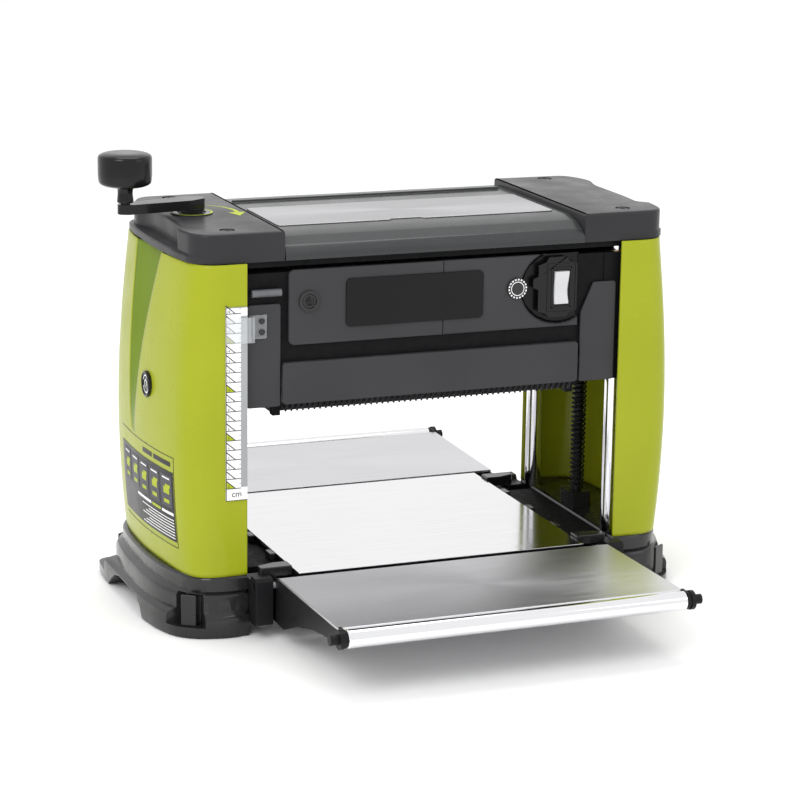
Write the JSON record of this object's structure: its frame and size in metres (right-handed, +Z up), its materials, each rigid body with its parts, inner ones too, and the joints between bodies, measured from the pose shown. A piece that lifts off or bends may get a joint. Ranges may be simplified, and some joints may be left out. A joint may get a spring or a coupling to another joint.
{
  "type": "thickness planer",
  "caption": "Benchtop thickness planer with lime side shells, a crank-raised cutting carriage between columns, and folding infeed and outfeed tables with end rollers.",
  "frame": {"origin": "on the bench, in the middle of the four bench bolts, under the cutterhead's middle", "axes": "+X to the operator's right, +Y the feed direction from the infeed side to the outfeed side, +Z up"},
  "size_m": [0.6215, 0.7036, 0.483],
  "materials": {
    "black_plastic": "moulded, semi-matt",
    "grey_plastic": "moulded, fine grain",
    "lime_plastic": "moulded, satin lime green",
    "dark_paint": "satin powder coat",
    "black_paint": "black powder coat",
    "casting": "raw die casting",
    "stainless": "bright stainless sheet",
    "brushed": "brushed steel sheet",
    "bright_chrome": "ground and chromed",
    "oiled_steel": "blacked, oiled",
    "tray_steel": "bead-blasted sheet",
    "bronze": "plain bearing bronze",
    "rubber": "matt",
    "switch_grey": "moulded, light grey",
    "strip_white": "printed label stock",
    "clear_plastic": "clear moulded window",
    "gloss_black": "gloss moulded",
    "knife_steel": "ground tool steel"
  },
  "bodies": {
    "chassis": {"base_left": "black_plastic", "base_right": "black_plastic", "rubber_feet": "rubber", "table_frame": "casting", "main_table": "stainless", "hinge_cheeks": "black_paint", "hinge_pins": "brushed", "table_guides": "black_plastic", "guide_columns": "bright_chrome", "screw_bearings": "black_plastic", "side_shell_left": "lime_plastic", "side_shell_right": "lime_plastic", "grip_inserts": "black_plastic", "shell_plugs": "black_plastic", "scale_strip": "strip_white", "crown_frame": "dark_paint", "top_cap_left": "grey_plastic", "top_cap_right": "grey_plastic", "cap_screws": "brushed", "crank_ring": "black_plastic", "top_cover": "dark_paint", "top_tray": "tray_steel", "drive_chain": "oiled_steel", "screw_springs": "oiled_steel"},
    "carriage": {"head_casting": "casting", "column_slides": "casting", "slide_bushes": "bronze", "block_covers": "grey_plastic", "fascia_left": "grey_plastic", "fascia_right": "grey_plastic", "badge_plate": "gloss_black", "lower_guard": "grey_plastic", "fascia_fittings": "black_plastic", "cross_rods": "oiled_steel", "rear_panel": "grey_plastic", "dust_port": "black_plastic", "motor_housing": "casting", "cutter_bearings": "oiled_steel", "drive_belt": "rubber", "roller_bearings": "oiled_steel", "switch_housing": "black_paint", "depth_pointer": "clear_plastic"},
    "crank": {"crank_arm": "gloss_black", "lead_screw_left": "oiled_steel"},
    "crank_grip": {"crank_knob": "gloss_black"},
    "right_screw": {"lead_screw_right": "oiled_steel"},
    "cutterhead": {"cutter_drum": "casting", "cutter_knives": "knife_steel"},
    "rotor": {"motor_rotor": "oiled_steel"},
    "infeed_feed": {"infeed_feed_roller": "rubber"},
    "outfeed_feed": {"outfeed_feed_roller": "rubber"},
    "pawls": {"kickback_pawls": "oiled_steel"},
    "rocker": {"switch_rocker": "switch_grey"},
    "reset": {"reset_button": "black_plastic"},
    "infeed_table": {"infeed_plate": "brushed", "infeed_arms": "black_paint"},
    "infeed_roll": {"infeed_end_roller": "bright_chrome"},
    "outfeed_table": {"outfeed_plate": "brushed", "outfeed_arms": "black_paint"},
    "outfeed_roll": {"outfeed_end_roller": "bright_chrome"}
  },
  "joints": [
    {"name": "carriage_lift", "type": "slide", "parent": "chassis", "child": "carriage", "axis": [0, 0, 1], "range_m": [-0.15, 0], "deforming": ["screw_springs"]},
    {"name": "crank_turn", "type": "hinge", "parent": "chassis", "child": "crank", "pos_m": [-0.223, 0.008, 0.418], "axis": [0, 0, 1], "range_deg": [-18000, 0]},
    {"name": "right_screw_turn", "type": "hinge", "parent": "chassis", "child": "right_screw", "pos_m": [0.223, 0.008, 0.2], "axis": [0, 0, 1], "range_deg": [-18000, 0]},
    {"name": "knob_spin", "type": "hinge", "parent": "crank", "child": "crank_grip", "pos_m": [-0.297, -0.005, 0.45], "axis": [0, 0, 1], "continuous": true},
    {"name": "cutter_spin", "type": "hinge", "parent": "carriage", "child": "cutterhead", "pos_m": [0, 0, 0.244], "axis": [1, 0, 0], "continuous": true},
    {"name": "rotor_spin", "type": "hinge", "parent": "carriage", "child": "rotor", "pos_m": [0, 0.02, 0.318], "axis": [1, 0, 0], "continuous": true},
    {"name": "infeed_feed_spin", "type": "hinge", "parent": "carriage", "child": "infeed_feed", "pos_m": [0, -0.068, 0.2355], "axis": [1, 0, 0], "continuous": true},
    {"name": "outfeed_feed_spin", "type": "hinge", "parent": "carriage", "child": "outfeed_feed", "pos_m": [0, 0.068, 0.2355], "axis": [1, 0, 0], "continuous": true},
    {"name": "pawl_swing", "type": "hinge", "parent": "carriage", "child": "pawls", "pos_m": [0, -0.104, 0.258], "axis": [1, 0, 0], "range_deg": [0, 18]},
    {"name": "rocker_tilt", "type": "hinge", "parent": "carriage", "child": "rocker", "pos_m": [0.138, -0.1155, 0.34], "axis": [1, 0, 0], "range_deg": [0, 8]},
    {"name": "reset_press", "type": "slide", "parent": "carriage", "child": "reset", "axis": [0, 1, 0], "range_m": [0, 0.002], "stiffness_N_per_m": 600, "springref_m": -0.002},
    {"name": "infeed_fold", "type": "hinge", "parent": "chassis", "child": "infeed_table", "pos_m": [0, -0.143, 0.056], "axis": [-1, 0, 0], "range_deg": [0, 90]},
    {"name": "outfeed_fold", "type": "hinge", "parent": "chassis", "child": "outfeed_table", "pos_m": [0, 0.143, 0.056], "axis": [1, 0, 0], "range_deg": [0, 90]},
    {"name": "infeed_roll_spin", "type": "hinge", "parent": "infeed_table", "child": "infeed_roll", "pos_m": [0, -0.342, 0.0625], "axis": [1, 0, 0], "continuous": true},
    {"name": "outfeed_roll_spin", "type": "hinge", "parent": "outfeed_table", "child": "outfeed_roll", "pos_m": [0, 0.342, 0.0625], "axis": [1, 0, 0], "continuous": true}
  ],
  "couplings": [
    {"joint": "crank_turn", "follows": "carriage_lift", "rad_per_m": 2094.4},
    {"joint": "right_screw_turn", "follows": "carriage_lift", "rad_per_m": 2094.4},
    {"joint": "rotor_spin", "follows": "cutter_spin", "ratio": 0.6},
    {"joint": "infeed_feed_spin", "follows": "cutter_spin", "ratio": -0.025},
    {"joint": "outfeed_feed_spin", "follows": "cutter_spin", "ratio": -0.025}
  ]
}
